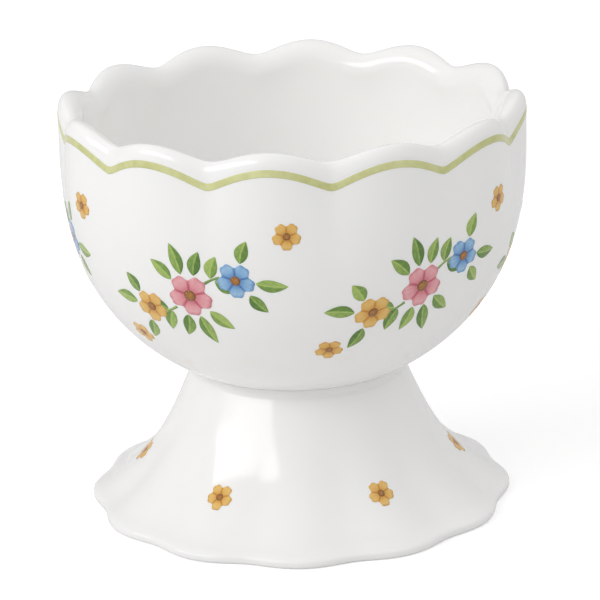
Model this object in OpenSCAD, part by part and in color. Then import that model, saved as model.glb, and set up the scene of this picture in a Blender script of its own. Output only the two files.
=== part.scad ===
// Egg cup of glazed porcelain. A round bowl with a lobed, waved rim is luted with slip onto a hollow,
// flared foot. A coloured line follows the waves of the rim, and flower sprays and small single
// flowers are printed on the bowl and the foot, one print to each colour.
// The origin is the middle of the resting ring, +Z is up and the front faces -Y.

/* [Bowl] */
// Diameter of the bowl over the crowns of its lobes
bowl_d = 58; // [52:0.5:66]
// Height of the crowns of the rim above the table
cup_h = 52.4; // [48:0.1:60]
// Height of the underside of the bowl above the table, on the axis
bowl_base_h = 14.9; // [13:0.1:17]
// Thickness of the lip, from the outer wall to the inner wall
lip_wall = 3.3; // [2.5:0.1:4.5]
// Thickness of the bowl at its bottom, on the axis
bowl_floor = 3.6; // [2.6:0.1:5]
// Fullness of the bowl's side; 2 with a belly of 2 is an ellipse
side_power = 1.9; // [1.7:0.05:2.4]
// Fullness of the bowl's belly; more keeps the side upright for longer
belly_power = 2.55; // [2:0.05:3]

/* [Rim] */
// Number of lobes round the rim, and round the foot
lobes = 12; // [8:1:14]
// Angle of the first cusp of the rim from the front
rim_phase = 9.3; // [-15:0.1:15]
// How far the rim dips from a crown to a cusp
rim_dip = 1.5; // [0.5:0.1:2.2]
// How far a flute cuts into the wall at the rim, below a cusp
flute_depth = 1.25; // [0.5:0.05:1.6]
// Length of a flute down the side of the bowl
flute_h = 27.5; // [18:0.5:30]
// Height of the outer rounding of the lip, from the line to the crest
lip_rise = 1.7; // [1.4:0.1:3]
// Height of the inner rounding of the lip
lip_drop = 2.5; // [1.2:0.1:3]
// Distance down which the lobes die out on the inner wall
inner_fade_h = 8; // [6:0.5:12]

/* [Line] */
// Width of the line under the lip
line_w = 0.9; // [0.5:0.1:1.2]
// How far the line dips from a crown to a cusp
line_dip = 2.15; // [0.8:0.05:2.4]
// Thickness of a printed or painted layer
ink_t = 0.06; // [0.04:0.01:0.1]

/* [Foot] */
// Diameter of the foot over the crowns of its lobes
foot_d = 53.3; // [46:0.1:60]
// Outer diameter of the neck, where it meets the bowl
neck_d = 26.4; // [22:0.2:30]
// Thickness of the neck's wall
neck_wall = 2.9; // [2.4:0.1:5]
// Height at which the foot's edge passes into its flare
edge_h = 2; // [1.8:0.1:2.8]
// Height of the upright face of the edge
edge_face_h = 0.8; // [0.6:0.1:1.4]
// Radius of the corner between the rolled edge and the resting ring
edge_round = 0.45; // [0.2:0.05:0.6]
// Width of the flat resting ring, below a crown
rest_w = 3.2; // [2.4:0.1:4]
// Depth of the foot's flutes at the edge
foot_flute_depth = 1; // [0.4:0.05:1.3]
// Angle of the first cusp of the foot from the front
foot_phase = 14.5; // [-15:0.1:15]

/* [Joint] */
// Thickness of the slip between the neck and the bowl
slip_t = 0.3; // [0.2:0.05:0.5]
// Reach of the slip's fillet down the neck and out under the bowl
slip_fillet = 1; // [0.6:0.1:1.4]

/* [Flowers] */
// Number of flower sprays round the bowl
sprays = 6; // [3:1:7]
// Length of a spray
spray_w = 17; // [14:0.5:18]
// Height of the middle of a spray, as a share of the way from the bowl's underside to its rim
spray_h_share = 0.52; // [0.48:0.01:0.56]
// Diameter of the pink flower in the middle of a spray
pink_d = 5.8; // [4:0.1:6.2]
// Diameter of the blue flower at the upper end of a spray
blue_d = 4.8; // [3:0.1:5]
// Diameter of the yellow flower at the lower end of a spray
yellow_d = 4.6; // [3:0.1:5]
// Length of the longest leaf
leaf_l = 4.2; // [2.5:0.1:4.6]
// Width of a leaf
leaf_w = 1.7; // [0.8:0.1:2]
// Width of a stem
stem_w = 0.36; // [0.2:0.02:0.5]
// Diameter of a small single flower
single_d = 3.5; // [2.5:0.1:4]
// Height of the upper row of single flowers on the bowl, as the same share
upper_row_share = 0.74; // [0.7:0.01:0.76]
// Height of the lower row of single flowers on the bowl, as the same share
lower_row_share = 0.32; // [0.28:0.01:0.36]
// Height of the row of single flowers on the foot, as a share of the foot's height
foot_row_share = 0.33; // [0.26:0.01:0.38]
// Number of single flowers on the foot
foot_singles = 6; // [3:1:9]

/* [Hidden] */
bowl_r = bowl_d / 2;
foot_r = foot_d / 2;
neck_r = neck_d / 2;
bore_r = neck_r - neck_wall;
bowl_h = cup_h - bowl_base_h;

// Steps round each lobe and round the whole cup
lobe_steps = 8;
around = lobes * lobe_steps;
step_angle = 360 / around;
// Steps along each stretch of the profiles
belly_steps = 11;
inner_steps = 10;
lip_steps = 4;
corner_steps = 2;
roll_steps = 3;
foot_steps = 10;

// Softness of the cusps: 0 is a sharp crease and 1 is nearly a sine wave
rim_soft_share = 0.4;
flute_soft_share = 0.16;
line_soft_share = 0.14;
foot_soft_share = 0.6;
// How quickly the flutes die out, as powers of the way to their ends
flute_power = 1.9;
foot_flute_power = 1.8;
// Part of the flutes' depth that shows on the inner side of the lip
inner_flute_share = 0.4;
// Part of the lip's width that lies outside its crest
crest_share = 0.32;
// Part of the foot's flare that widens evenly, and the power by which the rest sweeps out
flare_share = 0.55;
flare_power = 4;
// Height at which the flare would reach the edge's full radius, as a part of the edge's height
flare_low_share = 0.35;

// Heights of the rim's crowns at the line, and of the shoulder where the bowl turns upright
line_h = cup_h - lip_rise - line_w / 2;
line_low_h = line_h - line_dip - line_w / 2;
shoulder_clearance = 0.4;
shoulder_h = line_low_h - shoulder_clearance;
belly_h = shoulder_h - bowl_base_h;
inner_belly_h = belly_h - bowl_floor;
flute_low_h = cup_h - flute_h;
fade_low_h = cup_h - inner_fade_h;

// How far an angle is out of a cusp: 0 in it and 1 on a crown
function lobe(angle, phase, soft) =
    let (s = abs(sin(lobes * (angle - phase) / 2)))
    (sqrt(s * s + soft * soft) - soft) / (sqrt(1 + soft * soft) - soft);

// A point at a radius, an angle from the front and a height
function at(r, angle, z) = [r * sin(angle), -r * cos(angle), z];

// Radius of a belly of the given top radius and height, at a height z below its shoulder
function belly_r(z, top_r, h) =
    let (t = min(1, max(0, (shoulder_h - z) / h)))
    top_r * pow(1 - pow(t, belly_power), 1 / side_power);

// Height of the bowl's underside at a radius
function underside_z(r) =
    shoulder_h - belly_h * pow(1 - pow(r / bowl_r, side_power), 1 / belly_power);

function flute(z, angle) =
    flute_depth * pow(max(0, (z - flute_low_h) / flute_h), flute_power)
    * (1 - lobe(angle, rim_phase, flute_soft_share));
function bowl_outer_r(z, angle) = belly_r(z, bowl_r, belly_h) - flute(z, angle);
function crest_z(angle) = cup_h - rim_dip * (1 - lobe(angle, rim_phase, rim_soft_share));
function line_z(angle) = line_h - line_dip * (1 - lobe(angle, rim_phase, line_soft_share));
function lip_end_z(angle) = crest_z(angle) - lip_drop;

// The inner wall keeps the flutes of the lip at its top, and loses them on the way down
function bowl_inner_r(z, angle) =
    let (fade = max(0, (z - fade_low_h) / (lip_end_z(angle) - fade_low_h)))
    belly_r(z, bowl_r - lip_wall, inner_belly_h)
    - inner_flute_share * flute(line_z(angle), angle) * fade * fade;

// A point of the lip's section, with the turn going from 0 at the line over 90 at the crest to 180
function lip_point(turn, angle) =
    let (low = line_z(angle) + line_w / 2, r = bowl_outer_r(low, angle), top = crest_z(angle),
         out_w = lip_wall * crest_share, in_w = r - out_w - bowl_inner_r(lip_end_z(angle), angle))
    turn < 90
        ? at(r - out_w * (1 - cos(turn)), angle, low + (top - low) * sin(turn))
        : at(r - out_w + in_w * cos(turn), angle, top - lip_drop * (1 - sin(turn)));

// Foot surface: the flare from the neck down, its flutes and its rolled edge
seam_h = underside_z(neck_r);
foot_top_h = seam_h - slip_t;
flare_low_h = flare_low_share * edge_h;
function flare(z, neck, base) =
    let (q = (seam_h - z) / (seam_h - flare_low_h))
    neck + (base - neck) * (flare_share * q + (1 - flare_share) * pow(q, flare_power));
function foot_flute(z, angle) =
    foot_flute_depth * pow(1 - z / seam_h, foot_flute_power)
    * (1 - lobe(angle, foot_phase, foot_soft_share));
flare_slope = (flare(edge_h + edge_round, neck_r, foot_r) - flare(edge_h, neck_r, foot_r)) / edge_round;
function rolled_edge(z) =
    let (rise = edge_h - edge_face_h, t = max(0, z - edge_face_h) / rise, s = t * t)
    foot_r * (2 * s * t - 3 * s + 1) + flare(edge_h, neck_r, foot_r) * (3 * s - 2 * s * t)
    + flare_slope * rise * (s * t - s);
function foot_outer_r(z, angle) =
    (z < edge_h ? rolled_edge(z) : flare(z, neck_r, foot_r)) - foot_flute(z, angle);

// The hollow of the foot has the same flare, and its top follows the bowl's underside
hollow_r = foot_r - foot_flute_depth - edge_round - rest_w;
hollow_top_h = underside_z(bore_r) - slip_t;
function foot_inner_r(z) = flare(max(z, flare_low_h), bore_r, hollow_r);

// Closed skins over rings of points: all rings have as many points, and run to the right as seen
// from outside with the next ring above. Two poles close the ends; without poles the rings form a loop.
function band(low, high, count) =
    [for (j = [0 : count - 1])
        let (k = (j + 1) % count)
        each [[low + j, high + j, high + k], [low + j, high + k, low + k]]];
module skin(rings, poles = []) {
    count = len(rings[0]);
    last = (len(rings) - 1) * count;
    total = len(rings) * count;
    sides = [for (i = [0 : len(rings) - 2]) each band(i * count, (i + 1) * count, count)];
    ends = len(poles) == 0
        ? band(last, 0, count)
        : [for (j = [0 : count - 1])
            let (k = (j + 1) % count)
            each [[total, j, k], [last + j, total + 1, last + k]]];
    polyhedron(points = concat([for (ring = rings) each ring], poles), faces = concat(sides, ends));
}
function ring(phase, point) = [for (j = [0 : around - 1]) point(phase + j * step_angle)];

module bowl() {
    belly_turns = [for (i = [1 : belly_steps]) 90 * (1 - i / belly_steps)];
    inner_turns = [for (i = [0 : inner_steps - 1]) 90 * i / inner_steps];
    upright = (shoulder_h + line_low_h) / 2;
    outside = [for (turn = belly_turns)
        let (z = shoulder_h - belly_h * pow(sin(turn), 2 / belly_power))
        ring(rim_phase, function (a) at(bowl_outer_r(z, a), a, z))];
    line_edges = [for (side = [-1, 1])
        ring(rim_phase, function (a)
            let (z = line_z(a) + side * line_w / 2)
            at(bowl_outer_r(z, a), a, z))];
    lip = [for (i = [1 : 2 * lip_steps])
        ring(rim_phase, function (a) lip_point(90 * i / lip_steps, a))];
    inner_upright = [ring(rim_phase, function (a)
        let (z = (lip_end_z(a) + shoulder_h) / 2)
        at(bowl_inner_r(z, a), a, z))];
    inside = [for (turn = inner_turns)
        let (z = shoulder_h - inner_belly_h * pow(sin(turn), 2 / belly_power))
        ring(rim_phase, function (a) at(bowl_inner_r(z, a), a, z))];
    color("white")
        skin(
            concat(outside, [ring(rim_phase, function (a) at(bowl_outer_r(upright, a), a, upright))],
                   line_edges, lip, inner_upright, inside),
            [[0, 0, bowl_base_h], [0, 0, bowl_base_h + bowl_floor]]
        );
}

module foot() {
    corner = [for (i = [0 : corner_steps])
        let (turn = 90 * i / corner_steps, z = edge_round * (1 - cos(turn)),
             inset = edge_round * (1 - sin(turn)))
        ring(foot_phase, function (a) at(foot_outer_r(edge_round, a) - inset, a, z))];
    roll = [for (i = [0 : roll_steps])
        let (z = edge_face_h + (edge_h - edge_face_h) * i / roll_steps)
        ring(foot_phase, function (a) at(foot_outer_r(z, a), a, z))];
    outside = [for (i = [1 : foot_steps])
        let (z = edge_h + (foot_top_h - edge_h) * i / foot_steps)
        ring(foot_phase, function (a) at(foot_outer_r(z, a), a, z))];
    inside = [for (i = [0 : foot_steps])
        let (z = hollow_top_h * (1 - i / foot_steps))
        ring(foot_phase, function (a) at(foot_inner_r(z), a, z))];
    color("white") skin(concat(corner, roll, outside, inside));
}

// The slip fills the gap between the neck and the bowl, and a hollow fillet round the outside
module slip_joint() {
    steps = 6;
    under_r = neck_r + slip_fillet;
    foot_z = foot_top_h - slip_fillet;
    bond = [for (i = [0 : steps])
        let (r = bore_r + (under_r - bore_r) * i / steps)
        [r, underside_z(r)]];
    tip = [under_r, underside_z(under_r)];
    heel = [foot_outer_r(foot_z, foot_phase + 180 / lobes), foot_z];
    corner = [neck_r, foot_top_h];
    fillet = [for (i = [1 : steps])
        let (t = i / steps)
        tip * (1 - t) * (1 - t) + corner * 2 * t * (1 - t) + heel * t * t];
    top = [for (i = [0 : steps])
        let (r = neck_r + (bore_r - neck_r) * i / steps)
        [r, underside_z(r) - slip_t]];
    color("white") rotate_extrude($fn = around) polygon(concat(bond, fillet, top));
}

module rim_line() {
    edges = [[-1, 0], [-1, 1], [1, 1], [1, 0]];
    color("yellowgreen")
        skin([for (edge = edges)
            ring(rim_phase, function (a)
                let (z = line_z(a) + edge[0] * line_w / 2)
                at(bowl_outer_r(z, a) + edge[1] * ink_t, a, z))]);
}

// Prints: a flat shape drawn round a place becomes a thin layer on the surface there
bowl_place = function (z, angle) bowl_outer_r(z, angle);
foot_place = function (z, angle) foot_outer_r(z, angle);
function turned(p, angle) = [p[0] * cos(angle) - p[1] * sin(angle), p[0] * sin(angle) + p[1] * cos(angle)];
function moved(points, angle, place) = [for (p = points) turned(p, angle) + place];
function draped(wall_r, angle, h, p, lift) =
    let (slope = (wall_r(h + ink_t, angle) - wall_r(h, angle)) / ink_t,
         z = h + p[1] / sqrt(1 + slope * slope),
         a = angle + p[0] / wall_r(z, angle) * 180 / PI)
    at(wall_r(z, a) + lift, a, z);
function draped_ring(wall_r, angle, h, points, lift) =
    [for (p = points) draped(wall_r, angle, h, p, lift)];

// One printed shape, on the given layer of ink; layer 0 lies on the glaze
module print_shape(wall_r, angle, h, points, layer) {
    middle = [for (axis = [0, 1]) [for (p = points) p[axis]] * [for (p = points) 1 / len(points)]];
    low = layer * ink_t;
    high = low + ink_t;
    skin(
        [draped_ring(wall_r, angle, h, points, low), draped_ring(wall_r, angle, h, points, high)],
        [draped(wall_r, angle, h, middle, low), draped(wall_r, angle, h, middle, high)]
    );
}

// Outlines, drawn to the left round [0, 0]
petals = 5;
petal_notch_share = 0.28;
heart_share = 0.26;
heart_points = 8;
leaf_points = 10;
// Powers that set where a leaf is widest, and how blunt it is
leaf_base_power = 0.85;
leaf_blunt_power = 0.9;
function flower(d) =
    [for (i = [0 : 4 * petals - 1])
        let (angle = 90 * i / petals, reach = 1 - petal_notch_share * pow(cos(petals * angle / 2), 4))
        d / 2 * reach * [cos(angle + 90), sin(angle + 90)]];
function heart(d) =
    [for (i = [0 : heart_points - 1])
        let (angle = 360 * i / heart_points)
        d / 2 * heart_share * [cos(angle), sin(angle)]];
function leaf_edge(way, side, length) =
    [length * way, side * leaf_w / 2 * pow(sin(180 * pow(way, leaf_base_power)), leaf_blunt_power)];
function leaf(size_share) =
    let (half = leaf_points / 2, length = leaf_l * size_share)
    concat([for (i = [0 : half - 1]) leaf_edge(i / half, -1, length)],
           [for (i = [0 : half - 1]) leaf_edge(1 - i / half, 1, length)]);

// A spray: a stem in an S, with a pink flower in its middle and a blue and a yellow one at its ends.
// The way along the stem goes from -1 at the yellow flower to 1 at the blue one.
spray_angle = 360 / sprays;
spray_phase = 33;
stem_turn = 115;
stem_rise_share = 0.17;
stem_reach_share = 0.36;
stem_slope_share = stem_rise_share * stem_turn * PI / 180;
stem_steps = 6;
spray_h = bowl_base_h + spray_h_share * bowl_h;
function stem_at(way) = spray_w * [stem_reach_share * way, stem_rise_share * sin(stem_turn * way)];
function stem_angle(way) = atan2(stem_slope_share * cos(stem_turn * way), stem_reach_share);
// Ways along the stem at which it leaves the pink flower and reaches the flower at its end
stem_start = (pink_d / 2 + ink_t) / (spray_w * norm([stem_reach_share, stem_slope_share]));
stem_end_share = 0.68;
// Leaves along the stem: the way, and the side on which the leaf grows
stem_leaves = [[0.56, -1], [0.5, 1], [-0.56, 1], [-0.5, -1]];
leaf_lean = 46;
stem_leaf_share = 0.74;
// Leaves round the flowers: the way of the flower, its diameter, the leaf's direction and share of length
flower_leaf_shares = [
    [0, pink_d, 74, 0.8], [0, pink_d, 106, 1], [0, pink_d, 138, 0.84],
    [0, pink_d, 254, 0.8], [0, pink_d, 286, 1], [0, pink_d, 318, 0.84],
    [1, blue_d, 72, 0.74], [1, blue_d, -6, 0.9], [1, blue_d, -52, 0.7],
    [-1, yellow_d, 252, 0.74], [-1, yellow_d, 174, 0.9], [-1, yellow_d, 128, 0.7]
];

module stem(angle, h, side) {
    rings = [for (i = [0 : stem_steps])
        let (way = side * (stem_start + (stem_end_share - stem_start) * i / stem_steps),
             middle = stem_at(way), across = turned([0, stem_w / 2], stem_angle(way)) * side)
        [for (corner = [[1, 1], [-1, 1], [-1, 0], [1, 0]])
            draped(bowl_place, angle, h, middle + corner[0] * across, corner[1] * ink_t)]];
    ends = [for (end = [rings[0], rings[stem_steps]]) (end[0] + end[1] + end[2] + end[3]) / 4];
    skin(rings, ends);
}
module spray_places() {
    for (i = [0 : sprays - 1]) {
        $spray = spray_phase + i * spray_angle;
        children();
    }
}
module leaf_print() {
    color("olivedrab") spray_places() {
        for (side = [-1, 1]) stem($spray, spray_h, side);
        for (item = stem_leaves) {
            heading = stem_angle(item[0]) + (item[0] < 0 ? 180 : 0);
            base = stem_at(item[0]) + turned([0, item[1] * (stem_w / 2 + ink_t)], stem_angle(item[0]));
            lean = (item[0] < 0 ? -1 : 1) * item[1] * leaf_lean;
            print_shape(bowl_place, $spray, spray_h, moved(leaf(stem_leaf_share), heading + lean, base), 0);
        }
        for (item = flower_leaf_shares) {
            base = stem_at(item[0]) + turned([item[1] / 2 + ink_t, 0], item[2]);
            print_shape(bowl_place, $spray, spray_h, moved(leaf(item[3]), item[2], base), 0);
        }
    }
}
module pink_print() {
    color("palevioletred")
        spray_places() print_shape(bowl_place, $spray, spray_h, flower(pink_d), 1);
}
module blue_print() {
    color("cornflowerblue") spray_places()
        print_shape(bowl_place, $spray, spray_h, moved(flower(blue_d), 0, stem_at(1)), 1);
}

// Single flowers: two rows on the bowl, in the gaps between the sprays, and one on the foot
upper_gap_share = 0.42;
lower_gap_share = 0.6;
foot_gap_share = 0.25;
upper_row_h = bowl_base_h + upper_row_share * bowl_h;
lower_row_h = bowl_base_h + lower_row_share * bowl_h;
foot_row_h = foot_row_share * seam_h;
module single_places() {
    for (i = [0 : sprays - 1], row = [[upper_gap_share, upper_row_h], [lower_gap_share, lower_row_h]]) {
        $place = bowl_place;
        $angle = spray_phase + (i + row[0]) * spray_angle;
        $row_h = row[1];
        children();
    }
    for (i = [0 : foot_singles - 1]) {
        $place = foot_place;
        $angle = foot_phase + (i + foot_gap_share) * 360 / foot_singles;
        $row_h = foot_row_h;
        children();
    }
}
module yellow_print() {
    color("goldenrod") {
        spray_places()
            print_shape(bowl_place, $spray, spray_h, moved(flower(yellow_d), 0, stem_at(-1)), 1);
        single_places() print_shape($place, $angle, $row_h, flower(single_d), 1);
    }
}
module heart_print() {
    color("saddlebrown") {
        spray_places() {
            print_shape(bowl_place, $spray, spray_h, heart(pink_d), 2);
            print_shape(bowl_place, $spray, spray_h, moved(heart(blue_d), 0, stem_at(1)), 2);
            print_shape(bowl_place, $spray, spray_h, moved(heart(yellow_d), 0, stem_at(-1)), 2);
        }
        single_places() print_shape($place, $angle, $row_h, heart(single_d), 2);
    }
}

bowl();
foot();
slip_joint();
rim_line();
leaf_print();
pink_print();
blue_print();
yellow_print();
heart_print();
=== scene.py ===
# %% [markdown]
# Egg cup of glazed porcelain
#
# The real cup is two castings, a bowl and a hollow foot, stuck together with slip and covered with one
# white glaze. A green line runs under the lip, and flowers are printed on the glaze, one print to each
# colour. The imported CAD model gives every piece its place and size, so this script dresses that frame:
# it turns smooth shells round the axis, pulls the lobes into them, and lays the prints on their skin.

# %% Load the frame
import math

import bmesh
import bpy
from mathutils import Euler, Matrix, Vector


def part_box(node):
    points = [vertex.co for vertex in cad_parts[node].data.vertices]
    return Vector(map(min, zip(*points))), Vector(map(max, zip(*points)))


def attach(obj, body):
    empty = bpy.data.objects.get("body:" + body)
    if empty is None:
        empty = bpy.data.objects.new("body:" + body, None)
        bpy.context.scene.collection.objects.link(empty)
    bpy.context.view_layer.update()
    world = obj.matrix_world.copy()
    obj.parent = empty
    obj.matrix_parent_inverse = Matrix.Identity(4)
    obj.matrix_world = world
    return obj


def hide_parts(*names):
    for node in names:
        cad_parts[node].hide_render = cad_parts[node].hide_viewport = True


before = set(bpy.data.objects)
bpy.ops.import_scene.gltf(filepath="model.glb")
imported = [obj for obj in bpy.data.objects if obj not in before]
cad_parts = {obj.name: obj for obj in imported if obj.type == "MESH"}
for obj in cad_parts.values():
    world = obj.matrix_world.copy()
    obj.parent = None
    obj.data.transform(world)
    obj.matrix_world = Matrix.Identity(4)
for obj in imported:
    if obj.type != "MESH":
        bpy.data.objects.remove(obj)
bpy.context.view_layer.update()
mm = 0.001

# %% [markdown]
# Sizes
#
# A designer keeps one short list of sizes and lets the rest follow. These are the sizes of the CAD
# model, in metres: a superellipse for the belly, a row of twelve lobes round the rim and the foot, and
# a flare that rises from the table to the neck. Angles are in degrees from the front, and grow to the
# right.

# %% Sizes of the bowl and its rim
bowl_low, bowl_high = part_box("bowl")
foot_low, foot_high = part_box("foot")
lobes = 12
cup_h = bowl_high.z
bowl_r = 29 * mm
bowl_base_h = bowl_low.z
bowl_floor = 3.6 * mm
lip_wall = 3.3 * mm
side_power = 1.9
belly_power = 2.55
rim_phase = 9.3
rim_dip = 1.5 * mm
flute_depth = 1.25 * mm
flute_h = 27.5 * mm
lip_rise = 1.7 * mm
lip_drop = 2.5 * mm
inner_fade_h = 8 * mm
line_w = 0.9 * mm
line_dip = 2.15 * mm
line_h = cup_h - lip_rise - line_w / 2
line_low_h = line_h - line_dip - line_w / 2
shoulder_h = line_low_h - 0.4 * mm
belly_h = shoulder_h - bowl_base_h
inner_belly_h = belly_h - bowl_floor
print("bowl stands", round(bowl_base_h / mm, 2), "to", round(cup_h / mm, 2), "mm above the table")

# %% Sizes of the foot and the joint
foot_r = 26.65 * mm
neck_r = 13.2 * mm
bore_r = 10.3 * mm
edge_h = 2 * mm
edge_face_h = 0.8 * mm
edge_round = 0.45 * mm
rest_w = 3.2 * mm
foot_flute_depth = 1 * mm
foot_phase = 14.5
slip_t = 0.3 * mm
slip_fillet = 1 * mm
flare_share = 0.55
flare_low_h = 0.35 * edge_h
hollow_r = foot_r - foot_flute_depth - edge_round - rest_w
print("foot spreads", round((foot_high.x - foot_low.x) / mm, 2), "mm")

# %% [markdown]
# The form of the lobes
#
# A lobe is a soft arch between two creases. The sine of half the turn gives the arches, and a small
# softness rounds the creases off. The same rule then cuts the flutes into the wall, waves the rim and
# bends the painted line, so that all of them meet in the same creases.


# %% How far a place is out of a crease
def lobe(angle, phase, soft):
    arch = abs(math.sin(math.radians(lobes * (angle - phase) / 2)))
    return (math.hypot(arch, soft) - soft) / (math.hypot(1, soft) - soft)


def place(r, angle, z):
    turn = math.radians(angle)
    return Vector((r * math.sin(turn), -r * math.cos(turn), z))


def bearing(point):
    return math.degrees(math.atan2(point.x, -point.y))


print("lobe on a crown:", lobe(rim_phase + 180 / lobes, rim_phase, 0.3))


# %% Skin of the bowl
flute_power = 1.9
flute_softness, crest_softness, line_softness = 0.16, 0.4, 0.14
inner_flute_share = 0.4


def belly_r(z, top_r, height):
    drop = min(1, max(0, (shoulder_h - z) / height))
    return top_r * (1 - drop**belly_power) ** (1 / side_power)


def underside_z(r):
    return shoulder_h - belly_h * (1 - (r / bowl_r) ** side_power) ** (1 / belly_power)


def flute(z, angle):
    way = max(0, (z - cup_h + flute_h) / flute_h)
    return flute_depth * way**flute_power * (1 - lobe(angle, rim_phase, flute_softness))


def bowl_outer_r(z, angle):
    return belly_r(z, bowl_r, belly_h) - flute(z, angle)


def crest_z(angle):
    return cup_h - rim_dip * (1 - lobe(angle, rim_phase, crest_softness))


def line_z(angle):
    return line_h - line_dip * (1 - lobe(angle, rim_phase, line_softness))


def bowl_inner_r(z, angle):
    fade_low = cup_h - inner_fade_h
    fade = max(0, (z - fade_low) / (crest_z(angle) - lip_drop - fade_low))
    wave = inner_flute_share * flute(line_z(angle), angle)
    return belly_r(z, bowl_r - lip_wall, inner_belly_h) - wave * fade * fade


crown = rim_phase + 180 / lobes
print("radius at the rim's crowns:", round(bowl_outer_r(line_h, crown) / mm, 2), "mm")

# %% Skin of the foot
seam_h = underside_z(neck_r)
foot_top_h = seam_h - slip_t
flare_power = 4
foot_flute_power, foot_softness = 1.8, 0.6


def flare(z, neck, base):
    drop = (seam_h - z) / (seam_h - flare_low_h)
    return neck + (base - neck) * (flare_share * drop + (1 - flare_share) * drop**flare_power)


def foot_flute(z, angle):
    depth = foot_flute_depth * (1 - z / seam_h) ** foot_flute_power
    return depth * (1 - lobe(angle, foot_phase, foot_softness))


def foot_outer_r(z, angle):
    """Below the edge's top, a cubic curve rolls from the upright face into the flare."""
    if z >= edge_h:
        return flare(z, neck_r, foot_r) - foot_flute(z, angle)
    top = flare(edge_h, neck_r, foot_r)
    slope = (flare(edge_h + edge_round, neck_r, foot_r) - top) / edge_round
    rise = edge_h - edge_face_h
    t = max(0, z - edge_face_h) / rise
    s = t * t
    roll = foot_r * (2 * s * t - 3 * s + 1) + top * (3 * s - 2 * s * t) + slope * rise * (s * t - s)
    return roll - foot_flute(z, angle)


print("neck meets the bowl at", round(seam_h / mm, 2), "mm")

# %% [markdown]
# The view
#
# A packshot of tableware is taken from a long way off with a long lens, so that round rims stay round.
# Here the camera stands 0.38 m in front of the cup and 0.15 m up, looks down at 18 degrees, and leans
# by one and a half degrees, as the photograph does.

# %% Camera
view_place = Vector((0.46, -375.97, 148.82)) * mm
view_down = 18.165
view_lean = -1.58
frame_px = 600
focal_px = 3143
sensor = 36
camera_data = bpy.data.cameras.new("view")
camera_data.sensor_width = sensor
camera_data.lens = focal_px / frame_px * sensor
camera_data.clip_start = 0.01
camera = bpy.data.objects.new("view", camera_data)
looking_down = Euler((math.radians(90 - view_down), 0, 0)).to_matrix()
leaning = Euler((0, 0, math.radians(view_lean))).to_matrix()
camera.matrix_world = (looking_down @ leaning).to_4x4()
camera.location = view_place
bpy.context.scene.collection.objects.link(camera)
bpy.context.scene.camera = camera
print("lens:", round(camera_data.lens, 1), "mm")

# %% [markdown]
# Building materials from nodes
#
# A material is a small graph. Writing one line of Python for each node is long, so a helper class makes
# a graph, adds a node with its settings, and joins sockets. Values that are the same all over a surface
# are set on the shader's own socket, where an exporter can find them.


# %% Node helpers
class Graph:
    def __init__(self, name, owner=None):
        self.material = owner or bpy.data.materials.new(name)
        self.material.use_nodes = True
        self.tree = self.material.node_tree
        self.shader = self.tree.nodes.get("Principled BSDF")

    def add(self, kind, inputs=None, **settings):
        node = self.tree.nodes.new("ShaderNode" + kind)
        for key, value in settings.items():
            setattr(node, key, value)
        for key, value in (inputs or {}).items():
            self.put(node.inputs[key], value)
        return node

    def put(self, socket, value):
        if isinstance(value, bpy.types.NodeSocket):
            self.tree.links.new(value, socket)
        else:
            socket.default_value = value

    def math(self, operation, *values):
        node = self.add("Math", operation=operation)
        for socket, value in zip(node.inputs, values):
            self.put(socket, value)
        return node.outputs[0]

    def ramp(self, value, *stops):
        node = self.add("ValToRGB", {"Fac": value})
        marks = node.color_ramp.elements
        while len(marks) < len(stops):
            marks.new(0.5)
        for mark, (spot, color) in zip(marks, stops):
            mark.position = spot
            mark.color = (*color, 1)
        return node.outputs["Color"]

    def mix(self, factor, first, second):
        node = self.add("Mix", data_type="RGBA")
        colors = [socket for socket in node.inputs if socket.type == "RGBA"]
        self.put(node.inputs["Factor"], factor)
        self.put(colors[0], (*first, 1) if isinstance(first, tuple) else first)
        self.put(colors[1], (*second, 1) if isinstance(second, tuple) else second)
        return next(socket for socket in node.outputs if socket.type == "RGBA")

    def seen(self, camera_share, mirror_share):
        """How far a ray comes from the camera, or from a mirror image or a glass."""
        rays = self.add("LightPath")
        mirrored = self.math("MAXIMUM", rays.outputs["Is Glossy Ray"], rays.outputs["Is Transmission Ray"])
        by_mirror = self.math("MULTIPLY", mirrored, mirror_share)
        by_camera = self.math("MULTIPLY", rays.outputs["Is Camera Ray"], camera_share)
        return self.math("MAXIMUM", by_camera, by_mirror)


glaze_roughness, glaze_ior = 0.13, 1.5


def glossy(graph):
    graph.shader.inputs["Roughness"].default_value = glaze_roughness
    graph.shader.inputs["IOR"].default_value = glaze_ior


print("helpers ready, glaze roughness", glaze_roughness)

# %% [markdown]
# Light
#
# White porcelain is lit with one large soft lamp, because the glaze mirrors it: here a wide softbox
# stands upright on the left, well above the cup, and leaves the bright window on the foot. The rest of
# the light is the pale room. It is brighter overhead, which fills the bowl, and a little brighter on the
# right, which keeps the shaded side pale. The camera sees the room as plain white.


# %% Softbox
softbox_turn, softbox_lean = -59, -7.4
softbox_away, softbox_h = 0.8, 0.49
lamp = bpy.data.lights.new("softbox", "AREA")
lamp.shape = "RECTANGLE"
lamp.size, lamp.size_y = 0.9, 0.39
lamp.energy = 4.05
softbox = bpy.data.objects.new("softbox", lamp)
softbox.location = place(softbox_away, softbox_turn, softbox_h)
softbox.rotation_euler = (math.radians(90), math.radians(softbox_lean), math.radians(softbox_turn))
bpy.context.scene.collection.objects.link(softbox)
print("softbox of", lamp.energy, "W")

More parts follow.
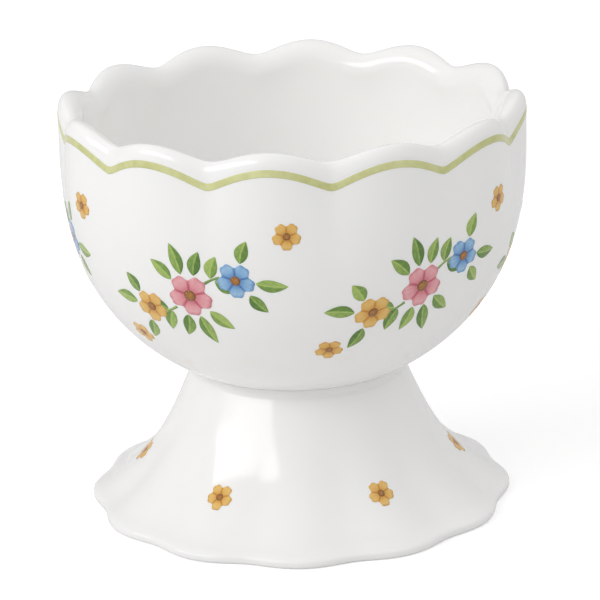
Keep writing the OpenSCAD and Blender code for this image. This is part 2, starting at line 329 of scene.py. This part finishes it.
# %% Room
room_light = 0.378
overhead_light = 0.49
right_light = 0.36
white_in_mirrors = 0.3
world = bpy.data.worlds.new("studio")
bpy.context.scene.world = world
room_graph = Graph("studio", world)
room = room_graph.tree.nodes["Background"]
looking = room_graph.add("SeparateXYZ", {"Vector": room_graph.add("TexCoord").outputs["Generated"]}).outputs
upward = room_graph.math("POWER", room_graph.math("MAXIMUM", looking["Z"], 0), 2)
light = room_graph.math("MULTIPLY_ADD", upward, overhead_light, room_light)
rightward = room_graph.math("MAXIMUM", looking["X"], 0)
light = room_graph.math("MULTIPLY_ADD", rightward, right_light, light)
white = room_graph.seen(1, white_in_mirrors)
dimmed = room_graph.math("MULTIPLY", light, room_graph.math("SUBTRACT", 1, white))
room.inputs["Color"].default_value = (1, 1, 1, 1)
room_graph.put(room.inputs["Strength"], room_graph.math("ADD", dimmed, white))
bpy.context.scene.view_settings.view_transform = "Standard"
print("room light", room_light)

# %% [markdown]
# Floor
#
# The floor is a plain pale sheet. It shines a little for the camera, so that it looks as white as the
# room while the cup's shadow still shows on it.

# %% Floor
floor_half = 3.0
floor_white = 0.82
floor_glow, floor_glow_in_mirrors = 0.39, 0.05
paper = Graph("paper_sweep")
paper.shader.inputs["Base Color"].default_value = (floor_white, floor_white, floor_white, 1)
paper.shader.inputs["Roughness"].default_value = 1
paper.shader.inputs["Specular IOR Level"].default_value = 0
paper.shader.inputs["Emission Color"].default_value = (1, 1, 1, 1)
paper.put(paper.shader.inputs["Emission Strength"], paper.seen(floor_glow, floor_glow_in_mirrors))
floor_bm = bmesh.new()
bmesh.ops.create_grid(floor_bm, x_segments=1, y_segments=1, size=floor_half)
floor_mesh = bpy.data.meshes.new("paper_sweep")
floor_bm.to_mesh(floor_mesh)
floor_bm.free()
floor_mesh.materials.append(paper.material)
floor = bpy.data.objects.new("paper_sweep", floor_mesh)
bpy.context.scene.collection.objects.link(floor)
print("floor reaches", floor_half, "m to each side")

# %% [markdown]
# Glaze
#
# Glazed porcelain is a white body under a clear, glassy coat. Light goes a little way into the body, so
# its shadows are soft, and the coat gives clear highlights. The coat is never dead flat: a faint, wide
# ripple in it makes the reflections of the lamp swim. It is a little thicker in some places than in
# others, and looks a trace cooler there.


# %% Glaze material
glaze_white, glaze_cool = (0.97, 0.963, 0.949), (0.945, 0.945, 0.936)
cool_share = 0.25


def glaze(name):
    graph = Graph(name)
    glossy(graph)
    where = graph.add("TexCoord").outputs["Object"]
    ripple = graph.add("TexNoise", {"Vector": where, "Scale": 90, "Detail": 2, "Roughness": 0.4})
    tint = graph.add("TexNoise", {"Vector": where, "Scale": 45, "Detail": 3, "Roughness": 0.5})
    fade = graph.ramp(tint.outputs["Fac"], (0.35, (0, 0, 0)), (0.75, (1, 1, 1)))
    color = graph.mix(graph.math("MULTIPLY", fade, cool_share), glaze_white, glaze_cool)
    graph.put(graph.shader.inputs["Base Color"], color)
    bump = graph.add("Bump", {"Height": ripple.outputs["Fac"], "Strength": 0.06, "Distance": 0.001})
    graph.put(graph.shader.inputs["Normal"], bump.outputs["Normal"])
    graph.shader.inputs["Subsurface Weight"].default_value = 0.12
    graph.shader.inputs["Subsurface Radius"].default_value = (1.0, 0.9, 0.75)
    graph.shader.inputs["Subsurface Scale"].default_value = 0.0015
    return graph.material


def bisque(name):
    graph = Graph(name)
    graph.shader.inputs["Roughness"].default_value = 0.65
    where = graph.add("TexCoord").outputs["Object"]
    grain = graph.add("TexNoise", {"Vector": where, "Scale": 2500, "Detail": 3, "Roughness": 0.6})
    color = graph.ramp(grain.outputs["Fac"], (0.3, (0.66, 0.64, 0.6)), (0.7, (0.78, 0.765, 0.73)))
    graph.put(graph.shader.inputs["Base Color"], color)
    bump = graph.add("Bump", {"Height": grain.outputs["Fac"], "Strength": 0.35, "Distance": 0.0001})
    graph.put(graph.shader.inputs["Normal"], bump.outputs["Normal"])
    return graph.material


porcelain = glaze("porcelain_glaze")
bare_body = bisque("unglazed_body")
print("materials:", porcelain.name, bare_body.name)

# %% [markdown]
# Turning a shell
#
# A potter's mould for such a piece starts from a turned form. So does this: a few vertices draw the
# section, a full spin turns it round the axis, and each vertex remembers its station along the section.
# With its station and its angle, a rule then moves it to its place in the lobes. This keeps all the
# quads in neat rings, and the creases fall on whole columns.


# %% Turn a section and shape it
weld_dist = 1e-7
axis_dist = 1e-6


def turned_shell(stations, shape, closed, columns, phase):
    """stations are the section's station numbers; shape gives a place for a station and an angle."""
    bm = bmesh.new()
    mark = bm.verts.layers.float.new("station")
    verts = []
    for station in stations:
        vert = bm.verts.new(shape(station, phase))
        vert[mark] = station
        verts.append(vert)
    pairs = list(zip(verts, verts[1:])) + ([(verts[-1], verts[0])] if closed else [])
    edges = [bm.edges.new(pair) for pair in pairs]
    bmesh.ops.spin(bm, geom=verts + edges, cent=(0, 0, 0), axis=(0, 0, 1), dvec=(0, 0, 0),
                   angle=math.tau, steps=columns, use_merge=True, use_duplicate=False)
    bmesh.ops.remove_doubles(bm, verts=bm.verts, dist=weld_dist)
    for vert in bm.verts:
        if vert.co.xy.length > axis_dist:
            step = round((bearing(vert.co) - phase) * columns / 360)
            vert.co = shape(vert[mark], phase + step * 360 / columns)
    bmesh.ops.recalc_face_normals(bm, faces=bm.faces)
    return bm


def finished(name, bm, materials):
    mesh = bpy.data.meshes.new(name)
    bm.to_mesh(mesh)
    bm.free()
    for material in materials:
        mesh.materials.append(material)
    mesh.shade_smooth()
    piece = bpy.data.objects.new(name, mesh)
    bpy.context.scene.collection.objects.link(piece)
    print(name, "has", len(mesh.polygons), "faces")
    return piece


# %% [markdown]
# Bowl
#
# The section of the bowl runs from the middle of its underside up the outer wall, over the lip and down
# the inner wall to the middle of the egg seat. The outer wall carries flutes that deepen towards the
# rim, and the inner wall is smooth but for the last few millimetres.

# %% Section of the bowl
belly_rows, upright_rows, lip_rows, inner_rows = 60, 6, 24, 44
lip_start = belly_rows + upright_rows
lip_end = lip_start + lip_rows
inner_start = lip_end + upright_rows
bowl_stations = list(range(inner_start + inner_rows + 1))
crest_share = 0.32


def bowl_point(station, angle):
    if station <= belly_rows:
        turn = math.radians(90 * (1 - station / belly_rows))
        z = shoulder_h - belly_h * math.sin(turn) ** (2 / belly_power)
        return place(bowl_outer_r(z, angle), angle, z)
    lip_low = line_z(angle) + line_w / 2
    if station <= lip_start:
        z = shoulder_h + (lip_low - shoulder_h) * (station - belly_rows) / upright_rows
        return place(bowl_outer_r(z, angle), angle, z)
    if station <= lip_end:
        turn = math.radians(180 * (station - lip_start) / lip_rows)
        r = bowl_outer_r(lip_low, angle) - lip_wall * crest_share
        if station - lip_start < lip_rows / 2:
            z = lip_low + (crest_z(angle) - lip_low) * math.sin(turn)
            return place(r + lip_wall * crest_share * math.cos(turn), angle, z)
        z = crest_z(angle) - lip_drop * (1 - math.sin(turn))
        inner_w = r - bowl_inner_r(crest_z(angle) - lip_drop, angle)
        return place(r + inner_w * math.cos(turn), angle, z)
    if station <= inner_start:
        lip_low = crest_z(angle) - lip_drop
        z = lip_low + (shoulder_h - lip_low) * (station - lip_end) / upright_rows
        return place(bowl_inner_r(z, angle), angle, z)
    turn = math.radians(90 * (station - inner_start) / inner_rows)
    z = shoulder_h - inner_belly_h * math.sin(turn) ** (2 / belly_power)
    return place(bowl_inner_r(z, angle), angle, z)


print("stations in the bowl's section:", len(bowl_stations))

# %% Bowl
columns = lobes * 24
bowl_bm = turned_shell(bowl_stations, bowl_point, False, columns, rim_phase)
bowl = finished("bowl_shell", bowl_bm, [porcelain])
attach(bowl, "root")
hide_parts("bowl")

# %% [markdown]
# Foot
#
# The foot is a hollow flare. Its section is a closed loop: a small corner at the table, the rolled edge,
# the flare up to the neck, the hollow back down, and the flat ring that it rests on. That ring is wiped
# clean of glaze before firing, or the cup would stick to the kiln shelf, so its faces get the bare body.

# %% Section of the foot
corner_rows, roll_rows, flare_rows = 6, 10, 48
roll_start = corner_rows
flare_start = roll_start + roll_rows
hollow_start = flare_start + flare_rows + 2
foot_stations = list(range(hollow_start + flare_rows + 3))
hollow_top_h = underside_z(bore_r) - slip_t
bevel_share = 0.3


def foot_point(station, angle):
    if station <= corner_rows:
        turn = math.radians(90 * station / corner_rows)
        r = foot_outer_r(edge_round, angle) - edge_round * (1 - math.sin(turn))
        return place(r, angle, edge_round * (1 - math.cos(turn)))
    if station <= flare_start:
        z = edge_round + (edge_h - edge_round) * (station - roll_start) / roll_rows
        return place(foot_outer_r(z, angle), angle, z)
    if station <= flare_start + flare_rows:
        z = edge_h + (foot_top_h - edge_h) * (station - flare_start) / flare_rows
        return place(foot_outer_r(z, angle), angle, z)
    if station < hollow_start:
        r = (neck_r + bore_r) / 2
        return place(r, angle, underside_z(r) - slip_t)
    if station <= hollow_start + flare_rows:
        z = hollow_top_h + (edge_round - hollow_top_h) * (station - hollow_start) / flare_rows
        return place(flare(max(z, flare_low_h), bore_r, hollow_r), angle, z)
    way = station - hollow_start - flare_rows
    if way == 1:
        return place(hollow_r + edge_round * bevel_share, angle, edge_round * bevel_share)
    return place(hollow_r + edge_round, angle, 0)


print("stations in the foot's section:", len(foot_stations))

# %% Foot
wiped_h = 0.05 * mm
foot_bm = turned_shell(foot_stations, foot_point, True, columns, foot_phase)
for face in foot_bm.faces:
    face.material_index = int(all(vert.co.z < wiped_h for vert in face.verts))
foot = finished("foot_shell", foot_bm, [porcelain, bare_body])
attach(foot, "root")
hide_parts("foot")

# %% [markdown]
# Slip joint
#
# Before glazing, the two castings are scored, wetted with slip and pressed together. A little slip oozes
# out all round and is sponged into a soft fillet. It is a closed ring: a thin bond between the castings,
# and a hollow curve from the bowl to the neck.

# %% Slip joint
bond_rows, fillet_rows = 4, 12
joint_stations = list(range(2 * bond_rows + fillet_rows))
under_r = neck_r + slip_fillet
heel_z = foot_top_h - slip_fillet


def joint_point(station, angle):
    if station <= bond_rows:
        r = bore_r + (under_r - bore_r) * station / bond_rows
        return place(r, angle, underside_z(r))
    if station <= bond_rows + fillet_rows:
        t = (station - bond_rows) / fillet_rows
        tip = Vector((under_r, underside_z(under_r)))
        corner = Vector((neck_r, foot_top_h))
        heel = Vector((foot_outer_r(heel_z, angle), heel_z))
        spot = tip * (1 - t) ** 2 + corner * 2 * t * (1 - t) + heel * t * t
        return place(spot.x, angle, spot.y)
    r = neck_r + (bore_r - neck_r) * (station - bond_rows - fillet_rows) / bond_rows
    return place(r, angle, underside_z(r) - slip_t)


joint_bm = turned_shell(joint_stations, joint_point, True, columns, foot_phase)
joint = finished("slip_ring", joint_bm, [porcelain])
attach(joint, "root")
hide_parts("slip_joint")

# %% [markdown]
# Painted line
#
# The line is drawn with a brush on the glaze while the cup turns, so it is thin, a little uneven in
# strength, and its edges lie flat on the wall. It is made as a closed ribbon on the bowl's skin, with its
# back just under the glaze so that no gap shows.


# %% Ceramic colour for the line
def line_color(name):
    graph = Graph(name)
    glossy(graph)
    where = graph.add("TexCoord").outputs["Object"]
    brush = graph.add("TexNoise", {"Vector": where, "Scale": 160, "Detail": 3, "Roughness": 0.6})
    grain = graph.add("TexNoise", {"Vector": where, "Scale": 1400, "Detail": 2, "Roughness": 0.5})
    strength = graph.math("MULTIPLY_ADD", grain.outputs["Fac"], 0.35, brush.outputs["Fac"])
    color = graph.ramp(strength, (0.42, (0.54, 0.55, 0.21)), (0.9, (0.76, 0.77, 0.4)))
    graph.put(graph.shader.inputs["Base Color"], color)
    return graph.material


line_green = line_color("line_green")
print("made", line_green.name)

# %% Painted line
line_lift = 0.03 * mm
line_columns = lobes * 32
# across the line and out of the wall, for each corner of its section
line_corners = [(-1, -1), (-1, 0.4), (-0.7, 1), (0, 1), (0.7, 1), (1, 0.4), (1, -1), (0, -1)]


def line_point(station, angle):
    side, layer = line_corners[int(round(station))]
    z = line_z(angle) + side * line_w / 2
    return place(bowl_outer_r(z, angle) + layer * line_lift, angle, z)


line_bm = turned_shell(range(len(line_corners)), line_point, True, line_columns, rim_phase)
line = finished("rim_line_paint", line_bm, [line_green])
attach(line, "root")
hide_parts("rim_line")

# %% [markdown]
# Laying a print on the glaze
#
# A ceramic transfer is a sheet of colours that slides onto the curved wall and melts into the glaze. Each
# shape starts as a thin blank, a disc for petals and leaves or a strip for stems. The blank is drawn out
# into the flat shape, and then draped: sideways moves become turns round the axis, and upward moves run
# up the wall. The flat drawing is kept as a UV map, so the paint follows each petal and leaf.


# %% Blanks
blank_weld = 1e-5


def thick_blank(name, bm):
    top = bmesh.ops.extrude_face_region(bm, geom=bm.faces[:], use_keep_orig=True)
    lifted = [part for part in top["geom"] if isinstance(part, bmesh.types.BMVert)]
    bmesh.ops.translate(bm, verts=lifted, vec=(0, 0, 1))
    bmesh.ops.recalc_face_normals(bm, faces=bm.faces)
    mesh = bpy.data.meshes.new(name)
    bm.to_mesh(mesh)
    bm.free()
    print(name, "has", len(mesh.vertices), "points")
    return mesh


def disc_blank(name, spokes, rings):
    bm = bmesh.new()
    verts = [bm.verts.new((i / rings, 0, 0)) for i in range(rings + 1)]
    edges = [bm.edges.new(pair) for pair in zip(verts, verts[1:])]
    bmesh.ops.spin(bm, geom=verts + edges, cent=(0, 0, 0), axis=(0, 0, 1), dvec=(0, 0, 0),
                   angle=math.tau, steps=spokes, use_merge=True, use_duplicate=False)
    bmesh.ops.remove_doubles(bm, verts=bm.verts, dist=blank_weld)
    return thick_blank(name, bm)


def strip_blank(name, length_cuts, width_cuts):
    bm = bmesh.new()
    bmesh.ops.create_grid(bm, x_segments=length_cuts, y_segments=width_cuts, size=1)
    return thick_blank(name, bm)


flower_blank = disc_blank("flower_blank", 80, 7)
leaf_blank = disc_blank("leaf_blank", 32, 6)
heart_blank = disc_blank("heart_blank", 24, 3)
stem_blank = strip_blank("stem_blank", 20, 2)


# %% Draping
back_depth = 0.02 * mm
tone_step = 0.382


def draped(skin, angle, h, x, y, lift):
    tiny = 0.06 * mm
    slope = (skin(h + tiny, angle) - skin(h, angle)) / tiny
    z = h + y / math.hypot(1, slope)
    a = angle + math.degrees(x / skin(z, angle))
    return place(skin(z, a) + lift, a, z)


def spun(x, y, angle):
    turn = math.radians(angle)
    return x * math.cos(turn) - y * math.sin(turn), x * math.sin(turn) + y * math.cos(turn)


class Print:
    """All shapes of one ceramic colour, laid on the glaze as thin closed skins."""

    def __init__(self, lift):
        self.lift = lift
        self.bm = bmesh.new()
        self.drawing = self.bm.loops.layers.uv.new("drawing")
        self.tone = self.bm.verts.layers.float.new("tone")
        self.tones = 0

    def lay(self, blank, draw, skin, angle, h, shift=(0, 0), lean=0):
        """draw gives, for a point of the blank, its flat place in metres and its place in the drawing."""
        start, first_face = len(self.bm.verts), len(self.bm.faces)
        self.bm.from_mesh(blank)
        self.bm.verts.ensure_lookup_table()
        self.bm.faces.ensure_lookup_table()
        self.tones = (self.tones + tone_step) % 1
        drawn = {}
        for vert in self.bm.verts[start:]:
            (x, y), drawn[vert] = draw(vert.co.x, vert.co.y)
            x, y = spun(x, y, lean)
            lift = self.lift if vert.co.z > 0.5 else -back_depth
            vert.co = draped(skin, angle, h, shift[0] + x, shift[1] + y, lift)
            vert[self.tone] = self.tones
        for face in self.bm.faces[first_face:]:
            for loop in face.loops:
                loop[self.drawing].uv = drawn[loop.vert]

    def finish(self, name, material, node):
        self.bm.normal_update()
        bmesh.ops.recalc_face_normals(self.bm, faces=self.bm.faces)
        piece = finished(name, self.bm, [material])
        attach(piece, "root")
        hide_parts(node)


print("prints reach", back_depth / mm, "mm into the glaze")

# %% [markdown]
# The plan of the sprays
#
# Six sprays stand round the bowl. A stem in a flat S joins a pink flower in the middle to a blue one at
# its upper end and a yellow one at its lower end, with leaves between. Single yellow flowers fill the
# gaps in two rows, and six more go round the foot.

# %% Plan of the sprays
sprays = 6
spray_w = 17 * mm
pink_d = 5.8 * mm
blue_d = 4.8 * mm
yellow_d = 4.6 * mm
single_d = 3.5 * mm
leaf_l = 4.2 * mm
leaf_w = 1.7 * mm
stem_w = 0.36 * mm
clear = 0.06 * mm
bowl_h = cup_h - bowl_base_h
spray_h_share = 0.52
spray_h = bowl_base_h + spray_h_share * bowl_h
spray_angle = 360 / sprays
spray_phase = 33
stem_turn = 115
stem_rise_share, stem_reach_share = 0.17, 0.36
stem_rise = stem_rise_share * spray_w
stem_reach = stem_reach_share * spray_w
stem_slope = stem_rise * math.radians(stem_turn)
stem_start = (pink_d / 2 + clear) / math.hypot(stem_reach, stem_slope)
stem_end = 0.68


def stem_at(way):
    return stem_reach * way, stem_rise * math.sin(math.radians(stem_turn * way))


def stem_heading(way):
    return math.degrees(math.atan2(stem_slope * math.cos(math.radians(stem_turn * way)), stem_reach))


print("a stem is", round(2 * stem_reach * stem_end / mm, 1), "mm from end to end")

# %% Places of the sprays and the single flowers
spray_spots = [(spray_phase + i * spray_angle, spray_h) for i in range(sprays)]
gap_shares = ((0.42, 0.74), (0.6, 0.32))
single_spots = [(bowl_outer_r, spray_phase + (i + gap) * spray_angle, bowl_base_h + share * bowl_h)
                for i in range(sprays) for gap, share in gap_shares]
foot_flowers = 6
foot_turn_share, foot_h_share = 0.25, 0.33
foot_flower_h = foot_h_share * seam_h
single_spots += [(foot_outer_r, foot_phase + (i + foot_turn_share) * 360 / foot_flowers, foot_flower_h)
                 for i in range(foot_flowers)]
print("sprays:", len(spray_spots), "single flowers:", len(single_spots))


# %% [markdown]
# Drawing a flower, a heart, a leaf and a stem
#
# Each drawing takes a point of its blank and gives two places: where it lies, in metres, and where it is
# in the drawing, in flower radii or leaf lengths. Petals are a wave round the disc with a small dent in
# each tip. A leaf is the disc squeezed between two curves that meet in a point.


# %% Drawings
petals = 5
petal_gap, tip_dent = 0.28, 0.05
heart_share = 0.13
leaf_belly_power, leaf_round_power = 0.85, 0.9
leaf_tip = 0.9999


def draw_flower(diameter):
    def draw(x, y):
        turn = math.atan2(y, x) - math.pi / 2
        notch = math.cos(petals / 2 * turn) ** 4
        dent = math.sin(petals / 2 * turn) ** 16
        reach = math.hypot(x, y)
        wave = 1 - reach**1.5 * (petal_gap * notch + tip_dent * dent)
        return (x * wave * diameter / 2, y * wave * diameter / 2), (x * wave, y * wave)
    return draw


def draw_heart(diameter):
    return lambda x, y: ((x * diameter * heart_share, y * diameter * heart_share), (x, y))


def draw_leaf(share, bend=0.0):
    def draw(x, y):
        way = (x + 1) / 2
        side = y / math.sqrt(1 - x * x) if abs(x) < leaf_tip else 0
        arch = math.sin(math.pi * way**leaf_belly_power) if 0 < way < 1 else 0
        half = leaf_w / 2 * arch**leaf_round_power
        lift = bend * leaf_l * way * (1 - way)
        return (share * leaf_l * way, side * half + lift), (way, side * half / leaf_w)
    return draw


def draw_stem(side):
    def draw(x, y):
        way = side * (stem_start + (stem_end - stem_start) * (x + 1) / 2)
        middle_x, middle_y = stem_at(way)
        across_x, across_y = spun(0, y * stem_w / 2 * (0.8 + 0.2 * abs(x)), stem_heading(way))
        return (middle_x + across_x, middle_y + across_y), ((x + 1) / 2, 0.5 * y)
    return draw


print("a leaf is", round(leaf_l / mm, 1), "mm long")

# %% [markdown]
# Ceramic colours
#
# Print colours on porcelain are thin: the white shows through where the printer leaves less of them. The
# petals are pale at half their length, deeper at the heart and in the gaps between petals, with fine
# strokes that run outwards. All of that is worked out from the flat drawing.


# %% Petal colour
def petal_color(name, deep, middle, pale):
    graph = Graph(name)
    glossy(graph)
    drawing = graph.add("UVMap", uv_map="drawing").outputs["UV"]
    tone = graph.add("Attribute", attribute_name="tone").outputs["Fac"]
    split = graph.add("SeparateXYZ", {"Vector": drawing})
    u, v = split.outputs["X"], split.outputs["Y"]
    reach = graph.add("VectorMath", {0: drawing}, operation="LENGTH").outputs["Value"]
    turn = graph.math("ARCTAN2", v, u)
    wave = graph.math("MULTIPLY_ADD", turn, petals / 2, -petals / 4 * math.pi)
    petal = graph.math("ABSOLUTE", graph.math("SINE", wave))
    gap = graph.ramp(petal, (0.0, (1, 1, 1)), (0.3, (0.25, 0.25, 0.25)), (0.6, (0, 0, 0)))
    fan = graph.add("CombineXYZ", {"X": graph.math("MULTIPLY", turn, 9),
                                   "Y": graph.math("MULTIPLY", reach, 1.6),
                                   "Z": graph.math("MULTIPLY", tone, 40)}).outputs["Vector"]
    stroke = graph.add("TexNoise", {"Vector": fan, "Scale": 1.3, "Detail": 3, "Roughness": 0.6})
    blot = graph.add("TexNoise", {"Vector": drawing, "Scale": 1.7, "Detail": 2}).outputs["Fac"]
    depth = graph.math("MULTIPLY_ADD", stroke.outputs["Fac"], 0.5, graph.math("MULTIPLY", blot, 0.25))
    wash = graph.ramp(reach, (0.2, (0.75, 0.75, 0.75)), (0.5, (0.3, 0.3, 0.3)),
                      (0.78, (0.16, 0.16, 0.16)), (1.0, (0.52, 0.52, 0.52)))
    depth = graph.math("MULTIPLY_ADD", wash, 0.9, graph.math("SUBTRACT", depth, 0.28))
    inner = graph.math("SUBTRACT", 1.15, reach)
    depth = graph.math("MULTIPLY_ADD", gap, inner, depth)
    depth = graph.math("MULTIPLY_ADD", tone, 0.12, depth)
    color = graph.ramp(depth, (0.05, pale), (0.45, middle), (0.95, deep))
    graph.put(graph.shader.inputs["Base Color"], color)
    return graph.material


petal_pink = petal_color("petal_pink", (0.52, 0.09, 0.13), (0.78, 0.3, 0.34), (0.88, 0.56, 0.57))
petal_blue = petal_color("petal_blue", (0.07, 0.16, 0.42), (0.2, 0.41, 0.69), (0.5, 0.69, 0.85))
petal_yellow = petal_color("petal_yellow", (0.55, 0.22, 0.03), (0.78, 0.45, 0.1), (0.86, 0.63, 0.25))
print("petal colours:", petal_pink.name, petal_blue.name, petal_yellow.name)


# %% Leaf colour
def leaf_color(name):
    graph = Graph(name)
    glossy(graph)
    drawing = graph.add("UVMap", uv_map="drawing").outputs["UV"]
    tone = graph.add("Attribute", attribute_name="tone").outputs["Fac"]
    split = graph.add("SeparateXYZ", {"Vector": drawing})
    way, side = split.outputs["X"], split.outputs["Y"]
    off = graph.math("ABSOLUTE", side)
    rib = graph.ramp(off, (0.0, (1, 1, 1)), (0.05, (0.6, 0.6, 0.6)), (0.09, (0, 0, 0)))
    slant = graph.math("MULTIPLY_ADD", off, -1.1, way)
    vein = graph.math("SINE", graph.math("MULTIPLY", slant, 46))
    vein = graph.ramp(vein, (0.62, (0, 0, 0)), (0.98, (0.55, 0.55, 0.55)))
    light = graph.math("MAXIMUM", rib, vein)
    half = graph.ramp(graph.math("MULTIPLY_ADD", side, 2, 0.5), (0.3, (0, 0, 0)), (0.7, (1, 1, 1)))
    blot = graph.add("TexNoise", {"Vector": drawing, "Scale": 5, "Detail": 3, "Roughness": 0.6})
    depth = graph.math("MULTIPLY_ADD", half, 0.22, graph.math("MULTIPLY", blot.outputs["Fac"], 0.55))
    depth = graph.math("MULTIPLY_ADD", tone, 0.3, depth)
    depth = graph.math("MULTIPLY_ADD", light, 0.35, depth)
    depth = graph.math("MULTIPLY_ADD", way, 0.1, depth)
    color = graph.ramp(depth, (0.2, (0.045, 0.13, 0.02)), (0.55, (0.15, 0.29, 0.05)),
                       (0.9, (0.42, 0.56, 0.14)))
    graph.put(graph.shader.inputs["Base Color"], color)
    return graph.material


def heart_color(name):
    graph = Graph(name)
    glossy(graph)
    drawing = graph.add("UVMap", uv_map="drawing").outputs["UV"]
    reach = graph.add("VectorMath", {0: drawing}, operation="LENGTH").outputs["Value"]
    grains = graph.add("TexVoronoi", {"Vector": drawing, "Scale": 3.4}).outputs["Distance"]
    dots = graph.ramp(grains, (0.12, (1, 1, 1)), (0.34, (0, 0, 0)))
    depth = graph.math("MULTIPLY_ADD", dots, -0.65, graph.math("MULTIPLY_ADD", reach, 0.5, 0.45))
    color = graph.ramp(depth, (0.0, (0.87, 0.66, 0.2)), (0.45, (0.5, 0.22, 0.04)),
                       (0.95, (0.2, 0.07, 0.02)))
    graph.put(graph.shader.inputs["Base Color"], color)
    return graph.material


leaf_green = leaf_color("leaf_green")
heart_brown = heart_color("heart_brown")
print("made", leaf_green.name, "and", heart_brown.name)

# %% [markdown]
# Printing the leaves and stems
#
# The green print holds every leaf and stem, because one colour is one pass of the press. Leaves grow in
# pairs along the stem and in fans behind the flowers, each a little larger or smaller than the next.

# %% Leaf print
# place along the stem, and side of it
stem_leaves = [(0.56, -1), (0.5, 1), (-0.56, 1), (-0.5, -1)]
stem_leaf_share, stem_leaf_bend, stem_leaf_lean = 0.74, 0.2, 46
fan_leaf_bend = 0.16
# place along the stem, the flower's width, heading, and share of the full length
flower_leaves = [(0, pink_d, 74, 0.8), (0, pink_d, 106, 1), (0, pink_d, 138, 0.84), (0, pink_d, 254, 0.8),
                 (0, pink_d, 286, 1), (0, pink_d, 318, 0.84), (1, blue_d, 72, 0.74), (1, blue_d, -6, 0.9),
                 (1, blue_d, -52, 0.7), (-1, yellow_d, 252, 0.74), (-1, yellow_d, 174, 0.9),
                 (-1, yellow_d, 128, 0.7)]
green = Print(0.02 * mm)
for angle, h in spray_spots:
    for side in (-1, 1):
        green.lay(stem_blank, draw_stem(side), bowl_outer_r, angle, h)
    for way, side in stem_leaves:
        heading = stem_heading(way) + (180 if way < 0 else 0)
        x, y = stem_at(way)
        dx, dy = spun(0, side * (stem_w / 2 + clear), stem_heading(way))
        lean = (-1 if way < 0 else 1) * side * stem_leaf_lean
        leaf = draw_leaf(stem_leaf_share, stem_leaf_bend * side)
        green.lay(leaf_blank, leaf, bowl_outer_r, angle, h, (x + dx, y + dy), heading + lean)
    for way, diameter, heading, share in flower_leaves:
        x, y = stem_at(way)
        dx, dy = spun(diameter / 2 + clear, 0, heading)
        leaf = draw_leaf(share, fan_leaf_bend if heading % 180 < 90 else -fan_leaf_bend)
        green.lay(leaf_blank, leaf, bowl_outer_r, angle, h, (x + dx, y + dy), heading)
green.finish("leaves_and_stems", leaf_green, "leaf_print")

# %% [markdown]
# Printing the flowers
#
# Pink and blue come once in each spray. Yellow comes once in each spray too, and in all the single
# flowers. The hearts are printed last, over the petals.

# %% Flower prints
pink = Print(0.03 * mm)
blue = Print(0.03 * mm)
yellow = Print(0.03 * mm)
brown = Print(0.042 * mm)
heart_turn = 50
for number, (angle, h) in enumerate(spray_spots):
    for ink, diameter, way in ((pink, pink_d, 0), (blue, blue_d, 1), (yellow, yellow_d, -1)):
        ink.lay(flower_blank, draw_flower(diameter), bowl_outer_r, angle, h, stem_at(way))
        heart = draw_heart(diameter)
        brown.lay(heart_blank, heart, bowl_outer_r, angle, h, stem_at(way), number * heart_turn)
for number, (skin, angle, h) in enumerate(single_spots):
    yellow.lay(flower_blank, draw_flower(single_d), skin, angle, h)
    brown.lay(heart_blank, draw_heart(single_d), skin, angle, h, (0, 0), number * heart_turn)
pink.finish("pink_flowers", petal_pink, "pink_print")
blue.finish("blue_flowers", petal_blue, "blue_print")
yellow.finish("yellow_flowers", petal_yellow, "yellow_print")
brown.finish("flower_hearts", heart_brown, "heart_print")
